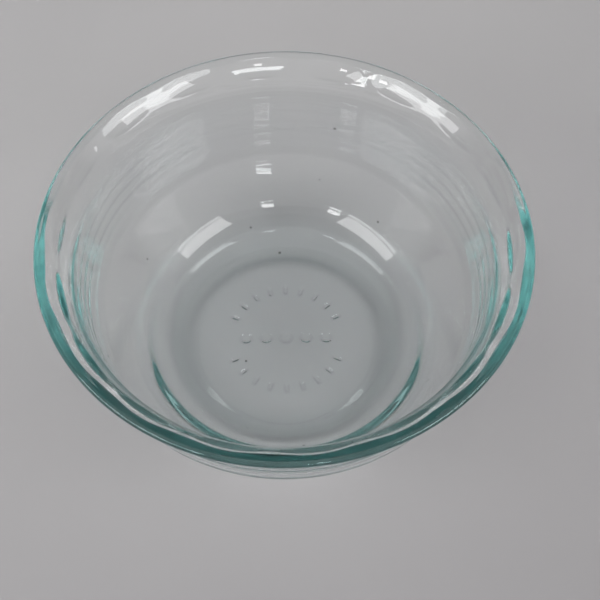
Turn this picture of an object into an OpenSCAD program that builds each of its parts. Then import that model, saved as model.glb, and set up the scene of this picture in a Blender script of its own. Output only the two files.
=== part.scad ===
// Small pressed glass prep bowl, in millimetres, +Z up.
// Origin: on the axis of the bowl, in the plane it rests on.
// The wall is one revolved section, drawn as straight runs joined by true
// arcs. Thumbprints are scooped out of it under the lip, and a shallow
// generic relief stands in the recess under the floor.

/* [Bowl] */
// Widest diameter, over the lip
rim_d = 114; // [104:1:124]
// Height over all
height = 51; // [47:1:56]
// Diameter at the foot, where the line of the side meets the table
foot_d = 67; // [60:1:74]
// From the widest rim in to the shoulder, where the side turns upright
shoulder_inset = 7.95; // [7.5:0.05:9.5]
// From the lip down to the shoulder corner
shoulder_drop = 28; // [25:0.5:30]

/* [Wall] */
// Thickness of the wall at the side
wall_t = 3; // [2.6:0.1:3.6]
// Thickness of the wall at the rim
rim_wall_t = 2.7; // [2.3:0.1:3]
// Thickness of the floor in the recess
floor_t = 4; // [3:0.1:5]
// Lean of the upright band from vertical, degrees
band_lean = 8.5; // [6:0.5:9.5]
// Lean of the flared rim from vertical, degrees
flare_lean = 26; // [22:0.5:28]
// Lean of the lip, where the rim turns further out, degrees
lip_lean = 38; // [35:0.5:41]

/* [Rounding] */
// Radius of the foot corner
foot_round = 10; // [7:0.5:12]
// Radius of the shoulder, outside
shoulder_round = 18; // [12:0.5:22]
// Radius where the rim begins to flare, outside
flare_round = 12; // [6:0.5:16]
// Radius where the lip turns further out, outside
lip_turn_round = 8; // [5:0.5:12]
// Radius of the heel, inside between floor and side
heel_round = 18; // [10:0.5:20]

/* [Lip] */
// Radius of the outer edge of the lip
lip_round = 0.9; // [0.6:0.05:1.1]
// Length of the lip along its lean
lip_l = 5; // [4:0.1:5.5]
// Fall of the flat top towards the inside, degrees
land_fall = 10; // [6:0.5:14]
// Radius of the inner edge of the flat top
land_round = 0.5; // [0.3:0.05:0.7]

/* [Foot] */
// Width of the flat ring that it rests on
foot_ring_w = 0.5; // [0.3:0.1:1.5]
// Depth of the recess
recess_depth = 0.8; // [0.5:0.1:1.2]
// Width of the recess's sloping edge
recess_slope_w = 3; // [2.5:0.1:4]
// Radius at both ends of that slope
recess_round = 8; // [5:0.5:10]

/* [Bands] */
// Number of raised bands round the outside
band_count = 3; // [1:1:3]
// From the lip down to the lowest band
band_drop = 22.4; // [21:0.1:24]
// Spacing of the bands
band_pitch = 3.3; // [2.6:0.1:3.5]
// Width of one band
band_w = 2.2; // [1.4:0.1:2.4]
// How far a band stands out
band_rise = 0.07; // [0.05:0.01:0.2]

/* [Thumbprints] */
// Number of thumbprints round the lip
print_count = 18; // [14:1:20]
// Depth of a thumbprint at its middle
print_depth = 0.5; // [0.3:0.05:0.6]
// Length of a thumbprint along the lip
print_l = 15; // [11:0.5:16]
// Hollow radius of a thumbprint, up and down
print_tall_r = 9; // [7:0.5:12]
// Lean of a thumbprint from vertical, degrees
print_lean = 32; // [28:0.5:36]
// Turn of the first thumbprint round the axis, degrees
print_turn = 16.4; // [0:0.1:20]

/* [Relief] */
// Diameter of the ring of generic relief under the floor
relief_d = 32; // [26:1:36]
// How far the relief stands below the recess
relief_rise = 0.3; // [0.2:0.05:0.4]
// Number of strokes in each arc of the relief
relief_strokes = 9; // [5:1:12]

/* [Hidden] */
$fn = 96;

// Colour of the glass
glass_tint = [0.74, 0.88, 0.86, 0.45];

// One overrun for every cut and every overlap
bite = wall_t / 10;

// Small vector helpers
function turn(a) = [sin(a), cos(a)];
function left(u) = [-u[1], u[0]];
function unit(v) = v / norm(v);
function cross2(u, v) = u[0] * v[1] - u[1] * v[0];
// Where a line through p along u meets a line through q along v
function meet(p, u, q, v) = p + u * (cross2(q - p, v) / cross2(u, v));

// Directions of the straight runs, going up
flare_run = turn(flare_lean);
lip_run = turn(lip_lean);
land_run = turn(90 - land_fall);
band_run = turn(band_lean);
foot_at = [foot_d / 2, 0];
shoulder_at = [rim_d / 2 - shoulder_inset, height - shoulder_drop];
side_run = unit(shoulder_at - foot_at);

// Lip: its outer edge is an arc that touches the rim's diameter and the height
lip_heart = [rim_d / 2 - lip_round, height - lip_round];
lip_out = lip_heart - left(lip_run) * lip_round;
land_out = lip_heart + left(land_run) * lip_round;
lip_at = meet(lip_out, lip_run, land_out, land_run);

// Corners of the outside
turn_at = lip_out - lip_run * lip_l;
flare_at = meet(turn_at, flare_run, shoulder_at, band_run);
// The recess ends inside the flat ring, clear of both roundings
side_rise = atan2(side_run[1], side_run[0]);
recess_fall = atan2(recess_depth, recess_slope_w);
foot_reach = foot_round * tan(side_rise / 2);
recess_reach = recess_round * tan(recess_fall / 2);
recess_out = foot_at - [foot_reach + foot_ring_w + recess_reach, 0];
recess_in = recess_out + [-recess_slope_w, recess_depth];

// The inside corner of a wall this thick at an outside corner
function inner(p, below, above, thick) =
    p + left(unit(below + above)) * thick / (unit(below + above) * above);

// Corners of the inside
floor_z = recess_depth + floor_t;
side_in = foot_at + left(side_run) * wall_t;
heel_in = meet(side_in, side_run, [0, floor_z], [1, 0]);
shoulder_in = inner(shoulder_at, side_run, band_run, wall_t);
flare_in = inner(flare_at, band_run, flare_run, (wall_t + rim_wall_t) / 2);
turn_in = inner(turn_at, flare_run, lip_run, rim_wall_t);
land_in = meet(land_out, land_run, turn_in, lip_run);

// The section as corners with a rounding radius each, anticlockwise
corners = [
    [[0, recess_depth], 0],
    [recess_in, recess_round],
    [recess_out, recess_round],
    [foot_at, foot_round],
    [shoulder_at, shoulder_round],
    [flare_at, flare_round],
    [turn_at, lip_turn_round],
    [lip_at, lip_round],
    [land_in, land_round],
    [turn_in, lip_turn_round + rim_wall_t],
    [flare_in, flare_round + (wall_t + rim_wall_t) / 2],
    [shoulder_in, shoulder_round - wall_t],
    [heel_in, heel_round],
    [[0, floor_z], 0]
];
last = len(corners) - 1;

function at(i) = corners[i][0];
function before(i) = at(i == 0 ? last : i - 1);
function after(i) = at(i == last ? 0 : i + 1);
function into(i) = unit(before(i) - at(i));
function away(i) = unit(after(i) - at(i));
// Half of the angle between the two runs at a corner
function half(i) = acos(into(i) * away(i)) / 2;
function reach(i) = corners[i][1] / tan(half(i));
function start(i) = at(i) + into(i) * reach(i);
function end(i) = at(i) + away(i) * reach(i);
function centre(i) =
    at(i) + unit(into(i) + away(i)) * corners[i][1] / sin(half(i));
// A corner of the solid is convex where the outline turns left
function convex(i) = cross2(away(i), into(i)) > 0;

rounded = [for (i = [0 : last]) if (corners[i][1] > 0) i];
tangents = [
    for (i = [0 : last])
        each corners[i][1] > 0 ? [start(i), end(i)] : [at(i)]
];

// The piece of a disc between its arc and its chord at corner i
module arc_cap(i) {
    r = corners[i][1];
    side = unit(at(i) - centre(i));
    intersection() {
        translate(centre(i))
            circle(r);
        polygon([
            start(i),
            start(i) + side * r,
            end(i) + side * r,
            end(i)
        ]);
    }
}

// One raised band: the crown of a disc set inside the wall
band_r = (pow(band_w / 2, 2) + pow(band_rise, 2)) / (2 * band_rise);
module band_cap(k) {
    z = height - band_drop + k * band_pitch;
    foot = meet([0, z], [1, 0], shoulder_at, band_run);
    out = -left(band_run);
    heart = foot + out * (band_rise - band_r);
    intersection() {
        translate(heart)
            circle(band_r);
        polygon([
            foot - out * wall_t / 2 - band_run * band_w,
            foot + out * wall_t / 2 - band_run * band_w,
            foot + out * wall_t / 2 + band_run * band_w,
            foot - out * wall_t / 2 + band_run * band_w
        ]);
    }
}

module section() {
    difference() {
        union() {
            polygon(tangents);
            for (i = rounded)
                if (convex(i))
                    arc_cap(i);
            for (k = [0 : band_count - 1])
                band_cap(k);
        }
        for (i = rounded)
            if (!convex(i))
                arc_cap(i);
    }
}

// The middle of a thumbprint, on the lip and then at full depth
print_place_share = 0.2;
print_run = turn(print_lean);
print_at = land_in + (turn_in - land_in) * print_place_share;
print_deep = print_at - left(print_run) * print_depth;
// Its hollow radius along the lip, which the lip's own roundness flattens
print_long_r = 1 / (cos(print_lean) / print_at[0] + 8 * print_depth / pow(print_l, 2));
// It runs on into the open mouth of the bowl, half way to its neighbour
print_gap = print_at[0] * tan(180 / print_count);
print_swing = asin((print_l / 2 + print_gap) / 2 / print_long_r);

// One thumbprint: a piece of a ring whose outer side is the hollow
module thumbprint() {
    translate([print_deep[0], 0, print_deep[1]])
        rotate([0, print_lean, 0])
            translate([-print_long_r, 0, 0])
                rotate([0, 0, -print_swing])
                    rotate_extrude(angle = 2 * print_swing)
                        translate([print_long_r - print_tall_r, 0])
                            circle(print_tall_r);
}

module thumbprints() {
    for (k = [0 : print_count - 1])
        rotate([0, 0, print_turn + k * 360 / print_count])
            thumbprint();
}

// Generic relief in the recess: two arcs of short strokes and a row of studs
stroke_w = relief_d / 34;
stroke_l = relief_d / 14;
arc_span_share = 0.36;
stud_d = relief_d / 11;
stud_pitch = relief_d / 6;
stud_count = 5;

module stroke() {
    translate([relief_d / 2 - stroke_l / 2, 0, recess_depth - relief_rise])
        linear_extrude(relief_rise + bite)
            square([stroke_l, stroke_w], center = true);
}

module relief() {
    span = 360 * arc_span_share;
    for (side = [90, 270])
        for (k = [0 : relief_strokes - 1])
            rotate([0, 0, side + span * (k / (relief_strokes - 1) - 0.5)])
                stroke();
    for (k = [0 : stud_count - 1])
        translate([(k - (stud_count - 1) / 2) * stud_pitch, 0, recess_depth - relief_rise])
            cylinder(d = stud_d, h = relief_rise + bite);
}

module bowl() {
    color(glass_tint)
        union() {
            difference() {
                rotate_extrude()
                    section();
                thumbprints();
            }
            relief();
        }
}

bowl();
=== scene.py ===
# %% [markdown]
# # A pressed glass prep bowl
#
# The bowl is one piece of clear glass with a faint green-blue tint. Its wall is one closed
# section, spun round the bowl's axis. Thumbprints are pressed in under the lip, three fine bands
# stand out from the side, and a shallow relief stands in the recess under the floor.
#
# Lengths are written in millimetres and turned into metres by `MM`. The origin is on the bowl's
# axis, in the plane it rests on, with +Z up.

from math import acos, atan2, cos, pi, radians, sin, sqrt, tan

import bmesh
import bpy
from mathutils import Matrix, Vector


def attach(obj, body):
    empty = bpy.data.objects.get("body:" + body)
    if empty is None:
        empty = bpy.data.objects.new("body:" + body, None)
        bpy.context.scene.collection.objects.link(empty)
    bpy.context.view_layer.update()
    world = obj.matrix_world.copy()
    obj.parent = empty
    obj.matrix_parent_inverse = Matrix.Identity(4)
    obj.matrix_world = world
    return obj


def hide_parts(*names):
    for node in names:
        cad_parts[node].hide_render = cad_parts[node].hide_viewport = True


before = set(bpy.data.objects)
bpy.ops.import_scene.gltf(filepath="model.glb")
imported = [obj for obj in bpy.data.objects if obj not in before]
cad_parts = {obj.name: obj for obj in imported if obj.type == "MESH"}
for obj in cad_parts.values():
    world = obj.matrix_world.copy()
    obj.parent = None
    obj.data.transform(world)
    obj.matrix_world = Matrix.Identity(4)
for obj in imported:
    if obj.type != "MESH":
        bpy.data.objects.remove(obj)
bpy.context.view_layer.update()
MM = 0.001

# %% [markdown]
# ## The camera
#
# It was matched to the outline of the rim in the photo: how long the lens is, how steeply it looks
# down, how far away it stands, and which pixel the middle of the rim falls on.

# %% The photo's camera
PHOTO_PX = 600
FOCAL_PX = 1073.9
LOOK_DOWN = 0.96286
ROLL = -0.0122
DISTANCE = 246.2 * MM
RIM_MIDDLE_Z = 50.1 * MM
RIM_MIDDLE_PX = (284.81, 235.14)
SENSOR_MM = 36.0

half_px = PHOTO_PX / 2
eye = Vector((0, -cos(LOOK_DOWN) * DISTANCE, sin(LOOK_DOWN) * DISTANCE + RIM_MIDDLE_Z))
ahead = Vector((0, cos(LOOK_DOWN), -sin(LOOK_DOWN)))
rightward = Vector((1, 0, 0))
base = Matrix((rightward, ahead.cross(rightward), ahead))
aim = Vector(((RIM_MIDDLE_PX[0] - half_px) / FOCAL_PX, (RIM_MIDDLE_PX[1] - half_px) / FOCAL_PX, 1))
swing = Vector((0, 0, 1)).rotation_difference(aim.normalized()).to_matrix()
tilt = Matrix.Rotation(ROLL, 3, "Z")
axes = (swing @ tilt @ base).transposed()
turn_matrix = Matrix((axes.col[0], -axes.col[1], -axes.col[2])).transposed()

lens = bpy.data.cameras.new("photo_camera")
lens.sensor_width = SENSOR_MM
lens.lens = FOCAL_PX / PHOTO_PX * SENSOR_MM
lens.clip_start = 0.01
lens.clip_end = 20
camera = bpy.data.objects.new("photo_camera", lens)
camera.matrix_world = Matrix.Translation(eye) @ turn_matrix.to_4x4()
bpy.context.scene.collection.objects.link(camera)
bpy.context.scene.camera = camera
print("lens", round(lens.lens, 2), "mm, eye at", [round(x, 4) for x in eye])

# %% [markdown]
# ## The section of the wall
#
# The section is a chain of straight runs. Each corner of the chain is rounded with its own radius.
# The outside runs from the recess under the floor over the foot, side, upright band and flared rim
# to the lip, and the inside runs back down to the middle of the floor.

# %% The bowl's sizes
RIM_D, HEIGHT = 114.0, 51.0
FOOT_D, SHOULDER_INSET, SHOULDER_DROP = 67.0, 7.95, 28.0
WALL, RIM_WALL, FLOOR = 3.0, 2.7, 4.0
BAND_LEAN, FLARE_LEAN = radians(8.5), radians(26)
FOOT_ROUND, SHOULDER_ROUND, FLARE_ROUND, HEEL_ROUND = 10.0, 18.0, 12.0, 18.0
LIP_LEAN, LIP_L, LIP_TURN_ROUND = radians(38), 5.0, 8.0
LIP_ROUND, LAND_FALL, LAND_ROUND = 0.9, radians(10), 0.5
FOOT_RING_W, RECESS_DEPTH, RECESS_SLOPE_W, RECESS_ROUND = 0.5, 0.8, 3.0, 8.0
BAND_COUNT, BAND_DROP, BAND_PITCH, BAND_W, BAND_RISE = 3, 22.4, 3.3, 2.2, 0.07


def run(lean):
    """A direction going up at this lean from vertical."""
    return Vector((sin(lean), cos(lean)))


def left(way):
    """The direction a quarter turn to the left."""
    return Vector((-way.y, way.x))


def cross(a, b):
    """The cross product of two flat directions."""
    return a.x * b.y - a.y * b.x


def meet(p, way_p, q, way_q):
    """Where a line through p meets a line through q."""
    return p + way_p * (cross(q - p, way_q) / cross(way_p, way_q))


def inner(corner, way_below, way_above, thickness):
    """The inside corner of a wall this thick at an outside corner."""
    middle = (way_below + way_above).normalized()
    return corner + left(middle) * thickness / middle.dot(way_above)


band_run, flare_run, lip_run = run(BAND_LEAN), run(FLARE_LEAN), run(LIP_LEAN)
land_run = run(pi / 2 - LAND_FALL)
foot_at = Vector((FOOT_D / 2, 0))
shoulder_at = Vector((RIM_D / 2 - SHOULDER_INSET, HEIGHT - SHOULDER_DROP))
side_run = (shoulder_at - foot_at).normalized()
lip_heart = Vector((RIM_D / 2 - LIP_ROUND, HEIGHT - LIP_ROUND))
lip_out = lip_heart - left(lip_run) * LIP_ROUND
land_out = lip_heart + left(land_run) * LIP_ROUND
turn_at = lip_out - lip_run * LIP_L
flare_at = meet(turn_at, flare_run, shoulder_at, band_run)
shoulder_in = inner(shoulder_at, side_run, band_run, WALL)
flare_in = inner(flare_at, band_run, flare_run, (WALL + RIM_WALL) / 2)
turn_in = inner(turn_at, flare_run, lip_run, RIM_WALL)
land_in = meet(land_out, land_run, turn_in, lip_run)
floor_z = RECESS_DEPTH + FLOOR
side_in = foot_at + left(side_run) * WALL
heel_in = meet(side_in, side_run, Vector((0, floor_z)), Vector((1, 0)))
foot_reach = FOOT_ROUND * tan(atan2(side_run.y, side_run.x) / 2)
recess_reach = RECESS_ROUND * tan(atan2(RECESS_DEPTH, RECESS_SLOPE_W) / 2)
recess_out = foot_at - Vector((foot_reach + FOOT_RING_W + recess_reach, 0))

outside = [
    (Vector((0, RECESS_DEPTH)), 0),
    (recess_out + Vector((-RECESS_SLOPE_W, RECESS_DEPTH)), RECESS_ROUND),
    (recess_out, RECESS_ROUND),
    (foot_at, FOOT_ROUND),
    (shoulder_at, SHOULDER_ROUND),
    (flare_at, FLARE_ROUND),
    (turn_at, LIP_TURN_ROUND),
]
lip = [(meet(lip_out, lip_run, land_out, land_run), LIP_ROUND)]
inside = [
    (land_in, LAND_ROUND),
    (turn_in, LIP_TURN_ROUND + RIM_WALL),
    (flare_in, FLARE_ROUND + (WALL + RIM_WALL) / 2),
    (shoulder_in, SHOULDER_ROUND - WALL),
    (heel_in, HEEL_ROUND),
    (Vector((0, floor_z)), 0),
]
corners = outside + lip + inside
print("corners in the section:", len(corners))

# %% [markdown]
# Each run and each rounding is cut into short steps. They are finest at the lip, where the glass
# bends the light most, and near the fine bands and the relief.

# %% Round the corners and cut the section into steps
LIP_FROM_Z, LIP_STEP = 46, 0.2
BANDS_FROM_Z, BANDS_TO_Z, BANDS_FROM_R, BANDS_STEP = 26, 38, 48, 0.3
RELIEF_TO_Z, RELIEF_TO_R, RELIEF_STEP = 1, 19, 0.45
PLAIN_STEP = 1.1
LEAST_ARC_STEPS = 4
SHORTEST = 1e-6


def step_at(point):
    """How long a step of the section may be at this point, in millimetres."""
    if point.y > LIP_FROM_Z:
        return LIP_STEP
    if BANDS_FROM_Z < point.y < BANDS_TO_Z and point.x > BANDS_FROM_R:
        return BANDS_STEP
    if point.y < RELIEF_TO_Z and point.x < RELIEF_TO_R:
        return RELIEF_STEP
    return PLAIN_STEP


def rounded(chain):
    """The chain's points, with an arc in place of each corner that has a radius."""
    points = []
    for i, (corner, radius) in enumerate(chain):
        if radius == 0:
            points.append(corner)
            continue
        into = (chain[i - 1][0] - corner).normalized()
        away = (chain[i + 1][0] - corner).normalized()
        half = acos(into.dot(away)) / 2
        heart = corner + (into + away).normalized() * radius / sin(half)
        first = corner + into * radius / tan(half) - heart
        last = corner + away * radius / tan(half) - heart
        angle = atan2(first.y, first.x)
        sweep = atan2(cross(first, last), first.dot(last))
        count = max(LEAST_ARC_STEPS, int(abs(sweep) * radius / step_at(corner)))
        for k in range(count + 1):
            a = angle + sweep * k / count
            points.append(heart + radius * Vector((cos(a), sin(a))))
    return points


def stepped(points):
    """The same line with its long runs cut into steps."""
    line = [points[0]]
    for end in points[1:]:
        start = line[-1]
        length = (end - start).length
        if length < SHORTEST:
            continue
        count = max(1, round(length / step_at((start + end) / 2)))
        line += [start + (end - start) * k / count for k in range(1, count + 1)]
    return line


section = stepped(rounded(corners))
top_row = max(range(len(section)), key=lambda k: section[k].y)

# A band is a soft wave that runs out a little past its half width, on the outside only
BAND_FADE_SHARE = 0.65
OUTSIDE_FROM_R = 40
band_out = -left(band_run)
for k in range(top_row):
    for b in range(BAND_COUNT):
        above = section[k].y - HEIGHT + BAND_DROP - b * BAND_PITCH
        off = above / cos(BAND_LEAN) / (BAND_W * BAND_FADE_SHARE)
        if section[k].x > OUTSIDE_FROM_R and abs(off) < 1:
            section[k] = section[k] + band_out * BAND_RISE * (1 + cos(pi * off)) / 2
print("steps in the section:", len(section) - 1)

# %% [markdown]
# ## The spun body
#
# The section is spun once round the axis. Then the points inside the lip are pressed back to the
# hollow of the nearest thumbprint, with a slightly soft edge as fire polishing leaves it, and the
# points under the floor are pushed down where the relief stands.

# %% Spin the section
SPINS = 342
MERGE_WITHIN = 0.0005 * MM

body = bmesh.new()
ring = [body.verts.new((p.x * MM, 0, p.y * MM)) for p in section]
edges = [body.edges.new(pair) for pair in zip(ring[:-1], ring[1:])]
bmesh.ops.spin(
    body,
    geom=ring + edges,
    cent=(0, 0, 0),
    axis=(0, 0, 1),
    angle=2 * pi,
    steps=SPINS,
    use_merge=True,
)
bmesh.ops.remove_doubles(body, verts=body.verts, dist=MERGE_WITHIN)
print("spun into", len(body.verts), "points and", len(body.faces), "faces")

# %% Press the thumbprints
PRINT_COUNT, PRINT_DEPTH, PRINT_L = 18, 0.5, 15.0
PRINT_TALL_R, PRINT_LEAN, PRINT_TURN = 9.0, radians(32), radians(16.4)
PRINT_PLACE_SHARE = 0.2
PRINT_SOFT = 0.04
PRINT_REACH, PRINT_SKIN = 5, 1.5
PRINTS_FROM_Z, PRINTS_TO_R = 44, 56.5

print_at = land_in + (turn_in - land_in) * PRINT_PLACE_SHARE
print_in = left(run(PRINT_LEAN))
print_up = run(PRINT_LEAN)
print_pitch = 2 * pi / PRINT_COUNT


def soft_lower(a, b, soft):
    """The lower of two heights, with the crease between them rounded."""
    mix = min(1, max(0, 0.5 + 0.5 * (b - a) / soft))
    return b + (a - b) * mix - soft * mix * (1 - mix)


def pressed(radius, height, angle):
    """Where the thumbprints leave a point of the lip, as radius and height."""
    point = Vector((radius, height)) - print_at
    up, proud = point.dot(print_up), point.dot(print_in)
    if abs(up) > PRINT_REACH or abs(proud) > PRINT_SKIN:
        return radius, height
    swing_from = (angle - PRINT_TURN + print_pitch / 2) % print_pitch - print_pitch / 2
    along = radius * sin(swing_from)
    hollow = -PRINT_DEPTH + up * up / (2 * PRINT_TALL_R) + PRINT_DEPTH * (2 * along / PRINT_L) ** 2
    push = min(0, soft_lower(proud, hollow, PRINT_SOFT) - proud)
    return radius + print_in.x * push, height + print_in.y * push


moved = 0
for vert in body.verts:
    x, y, z = vert.co / MM
    radius = sqrt(x * x + y * y)
    if z < PRINTS_FROM_Z or radius > PRINTS_TO_R:
        continue
    angle = atan2(y, x)
    new_radius, new_z = pressed(radius, z, angle)
    if new_radius != radius:
        vert.co = Vector((new_radius * cos(angle), new_radius * sin(angle), new_z)) * MM
        moved += 1
print("points pressed into thumbprints:", moved)

# %% Raise the relief under the floor
RELIEF_D, RELIEF_RISE, RELIEF_STROKES = 32.0, 0.3, 9
STROKE_W, STROKE_L, ARC_SPAN_SHARE = RELIEF_D / 34, RELIEF_D / 14, 0.36
STUD_D, STUD_PITCH, STUD_COUNT = RELIEF_D / 11, RELIEF_D / 6, 5
RELIEF_EDGE = 0.35
RELIEF_SKIN, RELIEF_MARGIN = 0.01, 1


def plateau(distance):
    """1 inside a form and 0 outside it, with a soft slope between."""
    t = min(1, max(0, 0.5 - distance / RELIEF_EDGE))
    return t * t * (3 - 2 * t)


def relief(x, y):
    """How much of the relief's full height stands at this place."""
    rise = 0.0
    for k in range(STUD_COUNT):
        stud_x = (k - (STUD_COUNT - 1) / 2) * STUD_PITCH
        rise = max(rise, plateau(sqrt((x - stud_x) ** 2 + y * y) - STUD_D / 2))
    span = 2 * pi * ARC_SPAN_SHARE
    for side in (pi / 2, -pi / 2):
        for k in range(RELIEF_STROKES):
            a = side + span * (k / (RELIEF_STROKES - 1) - 0.5)
            along = x * cos(a) + y * sin(a) - (RELIEF_D - STROKE_L) / 2
            across = y * cos(a) - x * sin(a)
            rise = max(rise, plateau(max(abs(along) - STROKE_L / 2, abs(across) - STROKE_W / 2)))
    return rise


raised = 0
for vert in body.verts:
    x, y, z = vert.co / MM
    near = x * x + y * y < (RELIEF_D / 2 + RELIEF_MARGIN) ** 2
    if near and z < RECESS_DEPTH + RELIEF_SKIN:
        rise = relief(x, y)
        if rise > 0:
            vert.co.z -= RELIEF_RISE * rise * MM
            raised += 1
print("points raised in the relief:", raised)

# %% Finish the body
bmesh.ops.recalc_face_normals(body, faces=body.faces)
mesh = bpy.data.meshes.new("glass_bowl")
body.to_mesh(mesh)
body.free()
mesh.polygons.foreach_set("use_smooth", [True] * len(mesh.polygons))
bowl = bpy.data.objects.new("glass_bowl", mesh)
bpy.context.scene.collection.objects.link(bowl)
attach(bowl, "root")
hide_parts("bowl")
print("triangles:", sum(len(p.vertices) - 2 for p in mesh.polygons))

# %% [markdown]
# ## The glass
#
# Clear soda-lime glass bends light a little more than water does. The tint is in the volume, so it
# is faint through one wall and deep where the light runs along the wall, as at the front of the rim.
# Pressing leaves a faint waviness, and use leaves a few specks.

# %% Shader group: specks


def new_group(name, inputs, outputs):
    """An empty shader node group with named sockets, and its two end nodes."""
    group = bpy.data.node_groups.new(name, "ShaderNodeTree")
    for socket, kind, value in inputs:
        made = group.interface.new_socket(name=socket, in_out="INPUT", socket_type=kind)
        if value is not None:
            made.default_value = value
    for socket, kind in outputs:
        group.interface.new_socket(name=socket, in_out="OUTPUT", socket_type=kind)
    return group, group.nodes.new("NodeGroupInput"), group.nodes.new("NodeGroupOutput")


def node(tree, kind, **settings):
    """A new node with its settings and plain socket values."""
    made = tree.nodes.new(kind)
    for name, value in settings.items():
        if hasattr(made, name):
            setattr(made, name, value)
        else:
            made.inputs[name.replace("_", " ")].default_value = value
    return made


FLOAT = "NodeSocketFloat"

specks, specks_in, specks_out = new_group(
    "specks",
    [("Scale", FLOAT, 90.0), ("Size", FLOAT, 0.05)],
    [("Mask", FLOAT)],
)
where = node(specks, "ShaderNodeTexCoord")
cells = node(specks, "ShaderNodeTexVoronoi", feature="F1")
edge = node(specks, "ShaderNodeMath", operation="LESS_THAN")
specks.links.new(where.outputs["Object"], cells.inputs["Vector"])
specks.links.new(specks_in.outputs["Scale"], cells.inputs["Scale"])
specks.links.new(cells.outputs["Distance"], edge.inputs[0])
specks.links.new(specks_in.outputs["Size"], edge.inputs[1])
specks.links.new(edge.outputs[0], specks_out.inputs["Mask"])
print("node groups:", [g.name for g in bpy.data.node_groups])

# %% The glass material
GLASS_IOR = 1.52
GLASS_TINT = (0.66, 0.815, 0.81, 1)
GLASS_DENSITY = 42.0
SPECK_SCALE, SPECK_SIZE = 90.0, 0.035
SPECK_COLOUR = (0.25, 0.25, 0.24, 1)
WAVE_STRENGTH, WAVE_HEIGHT = 0.08, 0.2 * MM

glass = bpy.data.materials.new("clear_glass")
glass.use_nodes = True
tree = glass.node_tree
shader = tree.nodes["Principled BSDF"]
shader.inputs["Transmission Weight"].default_value = 1.0
shader.inputs["Roughness"].default_value = 0.0
shader.inputs["Metallic"].default_value = 0.0
shader.inputs["IOR"].default_value = GLASS_IOR

dirt = node(tree, "ShaderNodeGroup", node_tree=specks)
dirt.inputs["Scale"].default_value = SPECK_SCALE
dirt.inputs["Size"].default_value = SPECK_SIZE
colour = node(tree, "ShaderNodeMix", data_type="RGBA")
colour.inputs["A"].default_value = (1, 1, 1, 1)
colour.inputs["B"].default_value = SPECK_COLOUR
tree.links.new(dirt.outputs["Mask"], colour.inputs["Factor"])
tree.links.new(colour.outputs["Result"], shader.inputs["Base Color"])

object_place = node(tree, "ShaderNodeTexCoord")
wave = node(tree, "ShaderNodeTexNoise", Scale=45.0, Detail=2.0, Roughness=0.4)
bump = node(tree, "ShaderNodeBump", Strength=WAVE_STRENGTH, Distance=WAVE_HEIGHT)
tree.links.new(object_place.outputs["Object"], wave.inputs["Vector"])
tree.links.new(wave.outputs["Fac"], bump.inputs["Height"])
tree.links.new(bump.outputs["Normal"], shader.inputs["Normal"])

tint = node(tree, "ShaderNodeVolumeAbsorption", Color=GLASS_TINT, Density=GLASS_DENSITY)
tree.links.new(tint.outputs["Volume"], tree.nodes["Material Output"].inputs["Volume"])
mesh.materials.append(glass)
print("glass:", glass.name, "index", GLASS_IOR, "density", GLASS_DENSITY)

# %% [markdown]
# ## The floor and the light
#
# The bowl stands on a plain pale sheet. Shade towards the near right is painted into the sheet's
# colour, as a fade from paler to darker under a little random blotching. The room lights it from
# above and from the front, and is dark behind the sheet up to a good height: that dark is what the
# front of the rim shows, because light runs to it along the wall from there. Two wide soft boxes
# stand low in front, one on each side, with two small ones nearer the camera, and make the
# highlights.

# %% The floor
SHEET_HALF_W, SHEET_DROP = 2.0, 0.1 * MM
# Painted shade: the sheet's colour fades from the paler tone to the darker one towards the near
# right, in place of uneven light
SHEET_PAINTED_SHADE, SHEET_PALER = (0.265, 0.255, 0.262, 1), (0.44, 0.43, 0.435, 1)
PAINTED_SHADE_WAY, PAINTED_SHADE_REACH, BLOTCH_SHARE = (-0.5, 1.0, 0.0), 0.16, 0.2

floor_mesh = bpy.data.meshes.new("floor_sheet")
sheet = bmesh.new()
bmesh.ops.create_grid(sheet, x_segments=1, y_segments=1, size=SHEET_HALF_W)
sheet.to_mesh(floor_mesh)
sheet.free()
floor = bpy.data.objects.new("floor_sheet", floor_mesh)
floor.location.z = -SHEET_DROP
bpy.context.scene.collection.objects.link(floor)

paper = bpy.data.materials.new("pale_sheet")
paper.use_nodes = True
paper_shader = paper.node_tree.nodes["Principled BSDF"]
paper_shader.inputs["Roughness"].default_value = 0.9
blotch = node(paper.node_tree, "ShaderNodeTexNoise", Scale=9.0, Detail=3.0)
shade = node(paper.node_tree, "ShaderNodeMix", data_type="RGBA")
shade.inputs["A"].default_value = SHEET_PAINTED_SHADE
shade.inputs["B"].default_value = SHEET_PALER
sheet_place = node(paper.node_tree, "ShaderNodeTexCoord")
across = node(paper.node_tree, "ShaderNodeVectorMath", operation="DOT_PRODUCT")
across.inputs[1].default_value = PAINTED_SHADE_WAY
# The ramp of painted shade across the sheet, mixed with random blotches below
painted_shade_ramp = node(paper.node_tree, "ShaderNodeMapRange")
painted_shade_ramp.inputs["From Min"].default_value = -PAINTED_SHADE_REACH
painted_shade_ramp.inputs["From Max"].default_value = PAINTED_SHADE_REACH
blotch_and_painted_shade = node(paper.node_tree, "ShaderNodeMath", operation="MULTIPLY_ADD")
blotch_and_painted_shade.inputs[1].default_value = BLOTCH_SHARE
paper.node_tree.links.new(sheet_place.outputs["Object"], blotch.inputs["Vector"])
paper.node_tree.links.new(sheet_place.outputs["Object"], across.inputs[0])
paper.node_tree.links.new(across.outputs["Value"], painted_shade_ramp.inputs["Value"])
paper.node_tree.links.new(blotch.outputs["Fac"], blotch_and_painted_shade.inputs[0])
paper.node_tree.links.new(painted_shade_ramp.outputs[0], blotch_and_painted_shade.inputs[2])
paper.node_tree.links.new(blotch_and_painted_shade.outputs[0], shade.inputs["Factor"])
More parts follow.
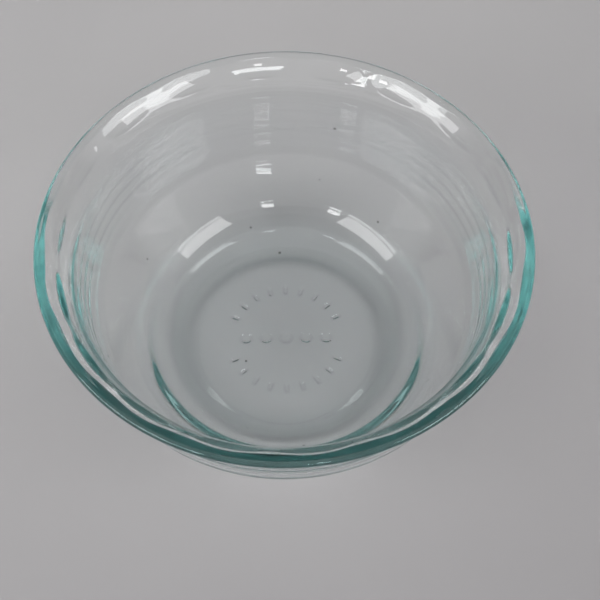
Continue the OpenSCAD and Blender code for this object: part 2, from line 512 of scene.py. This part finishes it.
paper.node_tree.links.new(shade.outputs["Result"], paper_shader.inputs["Base Color"])
floor_mesh.materials.append(paper)

# %% The lights
ROOM_LIGHT, ROOM_DARK = 0.9, 0.01
BACKDROP = 0.4

world = bpy.data.worlds.new("room")
world.use_nodes = True
room = world.node_tree
sky = room.nodes["Background"]
sky.inputs["Color"].default_value = (1, 1, 1, 1)
way_out = node(room, "ShaderNodeTexCoord")
parts = node(room, "ShaderNodeSeparateXYZ")
nearer = node(room, "ShaderNodeMapRange", interpolation_type="SMOOTHSTEP")
higher = node(room, "ShaderNodeMapRange", interpolation_type="SMOOTHSTEP")
lit = node(room, "ShaderNodeMath", operation="MAXIMUM")
strength = node(room, "ShaderNodeMapRange")
room.links.new(way_out.outputs["Generated"], parts.inputs[0])
for part, ramp, dark_at, light_at in (("Y", nearer, 0.15, -0.2), ("Z", higher, 0.72, 0.96)):
    ramp.inputs["From Min"].default_value = dark_at
    ramp.inputs["From Max"].default_value = light_at
    room.links.new(parts.outputs[part], ramp.inputs["Value"])
room.links.new(nearer.outputs[0], lit.inputs[0])
room.links.new(higher.outputs[0], lit.inputs[1])
strength.inputs["To Min"].default_value = ROOM_DARK
strength.inputs["To Max"].default_value = ROOM_LIGHT
room.links.new(lit.outputs[0], strength.inputs["Value"])
# The camera alone sees a pale backdrop there, which lights nothing
seen = node(room, "ShaderNodeLightPath")
backdrop = node(room, "ShaderNodeMath", operation="MULTIPLY")
backdrop.inputs[1].default_value = BACKDROP
shown = node(room, "ShaderNodeMath", operation="MAXIMUM")
room.links.new(seen.outputs["Is Camera Ray"], backdrop.inputs[0])
room.links.new(strength.outputs[0], shown.inputs[0])
room.links.new(backdrop.outputs[0], shown.inputs[1])
room.links.new(shown.outputs[0], sky.inputs["Strength"])
bpy.context.scene.world = world
print("room light", ROOM_LIGHT, "over and in front,", ROOM_DARK, "low behind")

LIGHT_DISTANCE = 1.2
LAMP_POWER = 10


def soft_box(name, azimuths, elevations, radiance):
    """A square lamp that fills this range of directions, in degrees, seen from the bowl."""
    azimuth, elevation = radians(sum(azimuths) / 2), radians(sum(elevations) / 2)
    way = Vector((cos(azimuth) * cos(elevation), sin(azimuth) * cos(elevation), sin(elevation)))
    lamp = bpy.data.lights.new(name, "AREA")
    lamp.shape = "RECTANGLE"
    wide = radians(azimuths[1] - azimuths[0])
    tall = radians(elevations[1] - elevations[0])
    lamp.size = 2 * LIGHT_DISTANCE * tan(wide / 2) * cos(elevation)
    lamp.size_y = 2 * LIGHT_DISTANCE * tan(tall / 2)
    lamp.energy = radiance * lamp.size * lamp.size_y * LAMP_POWER
    made = bpy.data.objects.new(name, lamp)
    made.location = way * LIGHT_DISTANCE
    made.rotation_euler = (-way).to_track_quat("-Z", "Y").to_euler()
    bpy.context.scene.collection.objects.link(made)
    return made


soft_box("right_box", (-49, -12), (19.5, 43.5), 1.6)
soft_box("left_box", (-172, -131), (19.5, 43.5), 1.6)
soft_box("small_right", (-83, -75), (23, 30.5), 3.5)
soft_box("small_left", (-127, -119), (23, 30.5), 3.5)

# %% [markdown]
# ## Bounces
#
# Light runs a long way round inside the rim, and too few bounces would leave it black. Blender
# also blurs glass for light that has already left the sheet, which darkens the floor of a clear
# bowl, so that blur is turned off.

# %% Let the light bounce often enough
BOUNCES = 48
cycles = bpy.context.scene.cycles
cycles.blur_glossy = 0.0
cycles.max_bounces = BOUNCES
cycles.transmission_bounces = BOUNCES
cycles.glossy_bounces = BOUNCES
bpy.context.scene.view_settings.view_transform = "Standard"
